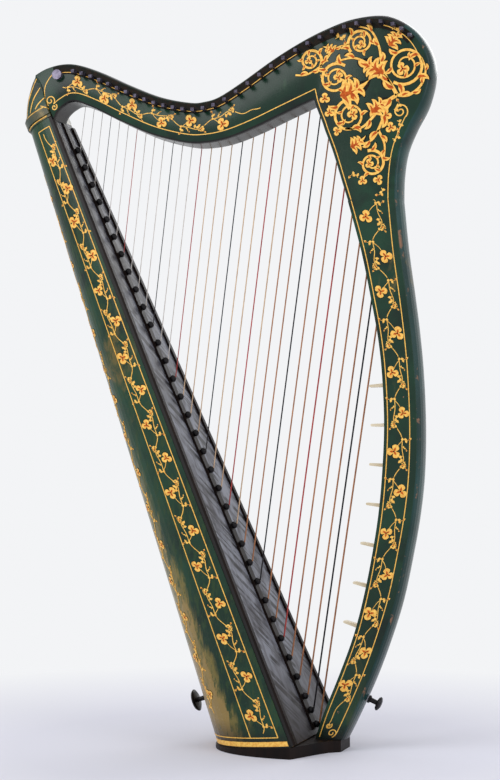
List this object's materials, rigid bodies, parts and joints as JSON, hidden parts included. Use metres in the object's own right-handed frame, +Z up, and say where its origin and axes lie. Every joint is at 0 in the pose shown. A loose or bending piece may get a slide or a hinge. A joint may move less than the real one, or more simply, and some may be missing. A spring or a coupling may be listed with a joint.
{
  "type": "concert harp",
  "caption": "Small portable harp on a round-backed soundbox, with a bowed pillar, finger levers in the pillar and a fork disc for each string.",
  "frame": {"origin": "on the flat underside of the base, below the middle of the string plane's foot", "axes": "+X from the soundbox towards the pillar, +Z up, +Y away from the side that carries the tuning pins' square ends"},
  "size_m": [0.5569, 0.207, 0.9084],
  "materials": {
    "green_lacquer": "dark green japanned lacquer over wood, gold painted ornament, worn at the edges",
    "dark_moulding": "dark brown polished wood",
    "soundboard_wood": "aged grey varnished softwood",
    "inner_wood": "bare softwood",
    "ebony": "black polished wood",
    "iron": "blued iron, dull",
    "steel": "worn steel",
    "brass": "aged brass",
    "ivory": "polished bone-coloured, slightly yellowed",
    "gut": "gut, plain, red and black strings"
  },
  "bodies": {
    "harp_frame": {"base_moulding": "dark_moulding", "base_block": "inner_wood", "soundbox_shell": "green_lacquer", "soundbox_bars": "inner_wood", "soundboard": "soundboard_wood", "edge_mouldings": "dark_moulding", "string_rib": "dark_moulding", "string_pegs": "ebony", "shoulder_ring": "green_lacquer", "shoulder_cap": "green_lacquer", "neck": "green_lacquer", "neck_bolt": "steel", "pillar": "green_lacquer", "dital_plate": "brass", "action_plate": "brass", "bridge_pins": "brass", "tuning_pins": "iron", "strings": "gut", "strap_buttons": "ebony", "linkage": "steel"},
    "dital_b": {"dital_b": "ivory"},
    "dital_a": {"dital_a": "ivory"},
    "dital_g": {"dital_g": "ivory"},
    "dital_f": {"dital_f": "ivory"},
    "dital_e": {"dital_e": "ivory"},
    "dital_d": {"dital_d": "ivory"},
    "dital_c": {"dital_c": "ivory"},
    "fork_disc_01": {"fork_disc_01": "brass"},
    "fork_disc_02": {"fork_disc_02": "brass"},
    "fork_disc_03": {"fork_disc_03": "brass"},
    "fork_disc_04": {"fork_disc_04": "brass"},
    "fork_disc_05": {"fork_disc_05": "brass"},
    "fork_disc_06": {"fork_disc_06": "brass"},
    "fork_disc_07": {"fork_disc_07": "brass"},
    "fork_disc_08": {"fork_disc_08": "brass"},
    "fork_disc_09": {"fork_disc_09": "brass"},
    "fork_disc_10": {"fork_disc_10": "brass"},
    "fork_disc_11": {"fork_disc_11": "brass"},
    "fork_disc_12": {"fork_disc_12": "brass"},
    "fork_disc_13": {"fork_disc_13": "brass"},
    "fork_disc_14": {"fork_disc_14": "brass"},
    "fork_disc_15": {"fork_disc_15": "brass"},
    "fork_disc_16": {"fork_disc_16": "brass"},
    "fork_disc_17": {"fork_disc_17": "brass"},
    "fork_disc_18": {"fork_disc_18": "brass"},
    "fork_disc_19": {"fork_disc_19": "brass"},
    "fork_disc_20": {"fork_disc_20": "brass"},
    "fork_disc_21": {"fork_disc_21": "brass"},
    "fork_disc_22": {"fork_disc_22": "brass"},
    "fork_disc_23": {"fork_disc_23": "brass"},
    "fork_disc_24": {"fork_disc_24": "brass"},
    "fork_disc_25": {"fork_disc_25": "brass"},
    "fork_disc_26": {"fork_disc_26": "brass"},
    "fork_disc_27": {"fork_disc_27": "brass"},
    "fork_disc_28": {"fork_disc_28": "brass"},
    "fork_disc_29": {"fork_disc_29": "brass"},
    "fork_disc_30": {"fork_disc_30": "brass"},
    "fork_disc_31": {"fork_disc_31": "brass"},
    "fork_disc_32": {"fork_disc_32": "brass"},
    "fork_disc_33": {"fork_disc_33": "brass"}
  },
  "joints": [
    {"name": "dital_b_swing", "type": "hinge", "parent": "harp_frame", "child": "dital_b", "pos_m": [0.18139, -0.01, 0.44864], "axis": [0, -1, 0], "range_deg": [0, 14]},
    {"name": "dital_a_swing", "type": "hinge", "parent": "harp_frame", "child": "dital_a", "pos_m": [0.18298, -0.01, 0.39847], "axis": [0, -1, 0], "range_deg": [0, 14]},
    {"name": "dital_g_swing", "type": "hinge", "parent": "harp_frame", "child": "dital_g", "pos_m": [0.18097, -0.01, 0.34827], "axis": [0, -1, 0], "range_deg": [0, 14]},
    {"name": "dital_f_swing", "type": "hinge", "parent": "harp_frame", "child": "dital_f", "pos_m": [0.17661, -0.01, 0.29822], "axis": [0, -1, 0], "range_deg": [0, 14]},
    {"name": "dital_e_swing", "type": "hinge", "parent": "harp_frame", "child": "dital_e", "pos_m": [0.16904, -0.01, 0.24805], "axis": [0, -1, 0], "range_deg": [0, 14]},
    {"name": "dital_d_swing", "type": "hinge", "parent": "harp_frame", "child": "dital_d", "pos_m": [0.15915, -0.01, 0.19811], "axis": [0, -1, 0], "range_deg": [0, 14]},
    {"name": "dital_c_swing", "type": "hinge", "parent": "harp_frame", "child": "dital_c", "pos_m": [0.1463, -0.01, 0.14787], "axis": [0, -1, 0], "range_deg": [0, 14]},
    {"name": "fork_disc_01_turn", "type": "hinge", "parent": "harp_frame", "child": "fork_disc_01", "pos_m": [-0.24556, 0.01, 0.8394], "axis": [0, -1, 0], "range_deg": [0, 54]},
    {"name": "fork_disc_02_turn", "type": "hinge", "parent": "harp_frame", "child": "fork_disc_02", "pos_m": [-0.23318, 0.01, 0.83567], "axis": [0, -1, 0], "range_deg": [0, 54]},
    {"name": "fork_disc_03_turn", "type": "hinge", "parent": "harp_frame", "child": "fork_disc_03", "pos_m": [-0.22084, 0.01, 0.83085], "axis": [0, -1, 0], "range_deg": [0, 54]},
    {"name": "fork_disc_04_turn", "type": "hinge", "parent": "harp_frame", "child": "fork_disc_04", "pos_m": [-0.20848, 0.01, 0.82536], "axis": [0, -1, 0], "range_deg": [0, 54]},
    {"name": "fork_disc_05_turn", "type": "hinge", "parent": "harp_frame", "child": "fork_disc_05", "pos_m": [-0.19611, 0.01, 0.81932], "axis": [0, -1, 0], "range_deg": [0, 54]},
    {"name": "fork_disc_06_turn", "type": "hinge", "parent": "harp_frame", "child": "fork_disc_06", "pos_m": [-0.18369, 0.01, 0.81308], "axis": [0, -1, 0], "range_deg": [0, 54]},
    {"name": "fork_disc_07_turn", "type": "hinge", "parent": "harp_frame", "child": "fork_disc_07", "pos_m": [-0.17118, 0.01, 0.80702], "axis": [0, -1, 0], "range_deg": [0, 54]},
    {"name": "fork_disc_08_turn", "type": "hinge", "parent": "harp_frame", "child": "fork_disc_08", "pos_m": [-0.15859, 0.01, 0.80117], "axis": [0, -1, 0], "range_deg": [0, 54]},
    {"name": "fork_disc_09_turn", "type": "hinge", "parent": "harp_frame", "child": "fork_disc_09", "pos_m": [-0.14591, 0.01, 0.79547], "axis": [0, -1, 0], "range_deg": [0, 54]},
    {"name": "fork_disc_10_turn", "type": "hinge", "parent": "harp_frame", "child": "fork_disc_10", "pos_m": [-0.13322, 0.01, 0.78926], "axis": [0, -1, 0], "range_deg": [0, 54]},
    {"name": "fork_disc_11_turn", "type": "hinge", "parent": "harp_frame", "child": "fork_disc_11", "pos_m": [-0.12037, 0.01, 0.78383], "axis": [0, -1, 0], "range_deg": [0, 54]},
    {"name": "fork_disc_12_turn", "type": "hinge", "parent": "harp_frame", "child": "fork_disc_12", "pos_m": [-0.10738, 0.01, 0.77912], "axis": [0, -1, 0], "range_deg": [0, 54]},
    {"name": "fork_disc_13_turn", "type": "hinge", "parent": "harp_frame", "child": "fork_disc_13", "pos_m": [-0.09424, 0.01, 0.77497], "axis": [0, -1, 0], "range_deg": [0, 54]},
    {"name": "fork_disc_14_turn", "type": "hinge", "parent": "harp_frame", "child": "fork_disc_14", "pos_m": [-0.08093, 0.01, 0.77174], "axis": [0, -1, 0], "range_deg": [0, 54]},
    {"name": "fork_disc_15_turn", "type": "hinge", "parent": "harp_frame", "child": "fork_disc_15", "pos_m": [-0.06726, 0.01, 0.77088], "axis": [0, -1, 0], "range_deg": [0, 54]},
    {"name": "fork_disc_16_turn", "type": "hinge", "parent": "harp_frame", "child": "fork_disc_16", "pos_m": [-0.05325, 0.01, 0.77221], "axis": [0, -1, 0], "range_deg": [0, 54]},
    {"name": "fork_disc_17_turn", "type": "hinge", "parent": "harp_frame", "child": "fork_disc_17", "pos_m": [-0.03881, 0.01, 0.77625], "axis": [0, -1, 0], "range_deg": [0, 54]},
    {"name": "fork_disc_18_turn", "type": "hinge", "parent": "harp_frame", "child": "fork_disc_18", "pos_m": [-0.02393, 0.01, 0.78299], "axis": [0, -1, 0], "range_deg": [0, 54]},
    {"name": "fork_disc_19_turn", "type": "hinge", "parent": "harp_frame", "child": "fork_disc_19", "pos_m": [-0.00881, 0.01, 0.7907], "axis": [0, -1, 0], "range_deg": [0, 54]},
    {"name": "fork_disc_20_turn", "type": "hinge", "parent": "harp_frame", "child": "fork_disc_20", "pos_m": [0.00644, 0.01, 0.79848], "axis": [0, -1, 0], "range_deg": [0, 54]},
    {"name": "fork_disc_21_turn", "type": "hinge", "parent": "harp_frame", "child": "fork_disc_21", "pos_m": [0.02183, 0.01, 0.80641], "axis": [0, -1, 0], "range_deg": [0, 54]},
    {"name": "fork_disc_22_turn", "type": "hinge", "parent": "harp_frame", "child": "fork_disc_22", "pos_m": [0.03726, 0.01, 0.81375], "axis": [0, -1, 0], "range_deg": [0, 54]},
    {"name": "fork_disc_23_turn", "type": "hinge", "parent": "harp_frame", "child": "fork_disc_23", "pos_m": [0.05274, 0.01, 0.82051], "axis": [0, -1, 0], "range_deg": [0, 54]},
    {"name": "fork_disc_24_turn", "type": "hinge", "parent": "harp_frame", "child": "fork_disc_24", "pos_m": [0.06821, 0.01, 0.82636], "axis": [0, -1, 0], "range_deg": [0, 54]},
    {"name": "fork_disc_25_turn", "type": "hinge", "parent": "harp_frame", "child": "fork_disc_25", "pos_m": [0.08368, 0.01, 0.83137], "axis": [0, -1, 0], "range_deg": [0, 54]},
    {"name": "fork_disc_26_turn", "type": "hinge", "parent": "harp_frame", "child": "fork_disc_26", "pos_m": [0.09912, 0.01, 0.83539], "axis": [0, -1, 0], "range_deg": [0, 54]},
    {"name": "fork_disc_27_turn", "type": "hinge", "parent": "harp_frame", "child": "fork_disc_27", "pos_m": [0.11456, 0.01, 0.83866], "axis": [0, -1, 0], "range_deg": [0, 54]},
    {"name": "fork_disc_28_turn", "type": "hinge", "parent": "harp_frame", "child": "fork_disc_28", "pos_m": [0.1299, 0.01, 0.84041], "axis": [0, -1, 0], "range_deg": [0, 54]},
    {"name": "fork_disc_29_turn", "type": "hinge", "parent": "harp_frame", "child": "fork_disc_29", "pos_m": [0.14505, 0.01, 0.84022], "axis": [0, -1, 0], "range_deg": [0, 54]},
    {"name": "fork_disc_30_turn", "type": "hinge", "parent": "harp_frame", "child": "fork_disc_30", "pos_m": [0.16004, 0.01, 0.83836], "axis": [0, -1, 0], "range_deg": [0, 54]},
    {"name": "fork_disc_31_turn", "type": "hinge", "parent": "harp_frame", "child": "fork_disc_31", "pos_m": [0.17464, 0.01, 0.83328], "axis": [0, -1, 0], "range_deg": [0, 54]},
    {"name": "fork_disc_32_turn", "type": "hinge", "parent": "harp_frame", "child": "fork_disc_32", "pos_m": [0.18522, 0.01, 0.82658], "axis": [0, -1, 0], "range_deg": [0, 54]},
    {"name": "fork_disc_33_turn", "type": "hinge", "parent": "harp_frame", "child": "fork_disc_33", "pos_m": [0.19552, 0.01, 0.81782], "axis": [0, -1, 0], "range_deg": [0, 54]}
  ],
  "couplings": [
    {"joint": "fork_disc_01_turn", "follows": "dital_b_swing", "ratio": 3.8566},
    {"joint": "fork_disc_02_turn", "follows": "dital_a_swing", "ratio": 3.8566},
    {"joint": "fork_disc_03_turn", "follows": "dital_g_swing", "ratio": 3.8566},
    {"joint": "fork_disc_04_turn", "follows": "dital_f_swing", "ratio": 3.8566},
    {"joint": "fork_disc_05_turn", "follows": "dital_e_swing", "ratio": 3.8566},
    {"joint": "fork_disc_06_turn", "follows": "dital_d_swing", "ratio": 3.8566},
    {"joint": "fork_disc_07_turn", "follows": "dital_c_swing", "ratio": 3.8566},
    {"joint": "fork_disc_08_turn", "follows": "dital_b_swing", "ratio": 3.8566},
    {"joint": "fork_disc_09_turn", "follows": "dital_a_swing", "ratio": 3.8566},
    {"joint": "fork_disc_10_turn", "follows": "dital_g_swing", "ratio": 3.8566},
    {"joint": "fork_disc_11_turn", "follows": "dital_f_swing", "ratio": 3.8566},
    {"joint": "fork_disc_12_turn", "follows": "dital_e_swing", "ratio": 3.8566},
    {"joint": "fork_disc_13_turn", "follows": "dital_d_swing", "ratio": 3.8566},
    {"joint": "fork_disc_14_turn", "follows": "dital_c_swing", "ratio": 3.8566},
    {"joint": "fork_disc_15_turn", "follows": "dital_b_swing", "ratio": 3.8566},
    {"joint": "fork_disc_16_turn", "follows": "dital_a_swing", "ratio": 3.8566},
    {"joint": "fork_disc_17_turn", "follows": "dital_g_swing", "ratio": 3.8566},
    {"joint": "fork_disc_18_turn", "follows": "dital_f_swing", "ratio": 3.8566},
    {"joint": "fork_disc_19_turn", "follows": "dital_e_swing", "ratio": 3.8566},
    {"joint": "fork_disc_20_turn", "follows": "dital_d_swing", "ratio": 3.8566},
    {"joint": "fork_disc_21_turn", "follows": "dital_c_swing", "ratio": 3.8566},
    {"joint": "fork_disc_22_turn", "follows": "dital_b_swing", "ratio": 3.8566},
    {"joint": "fork_disc_23_turn", "follows": "dital_a_swing", "ratio": 3.8566},
    {"joint": "fork_disc_24_turn", "follows": "dital_g_swing", "ratio": 3.8566},
    {"joint": "fork_disc_25_turn", "follows": "dital_f_swing", "ratio": 3.8566},
    {"joint": "fork_disc_26_turn", "follows": "dital_e_swing", "ratio": 3.8566},
    {"joint": "fork_disc_27_turn", "follows": "dital_d_swing", "ratio": 3.8566},
    {"joint": "fork_disc_28_turn", "follows": "dital_c_swing", "ratio": 3.8566},
    {"joint": "fork_disc_29_turn", "follows": "dital_b_swing", "ratio": 3.8566},
    {"joint": "fork_disc_30_turn", "follows": "dital_a_swing", "ratio": 3.8566},
    {"joint": "fork_disc_31_turn", "follows": "dital_g_swing", "ratio": 3.8566},
    {"joint": "fork_disc_32_turn", "follows": "dital_f_swing", "ratio": 3.8566},
    {"joint": "fork_disc_33_turn", "follows": "dital_e_swing", "ratio": 3.8566}
  ]
}
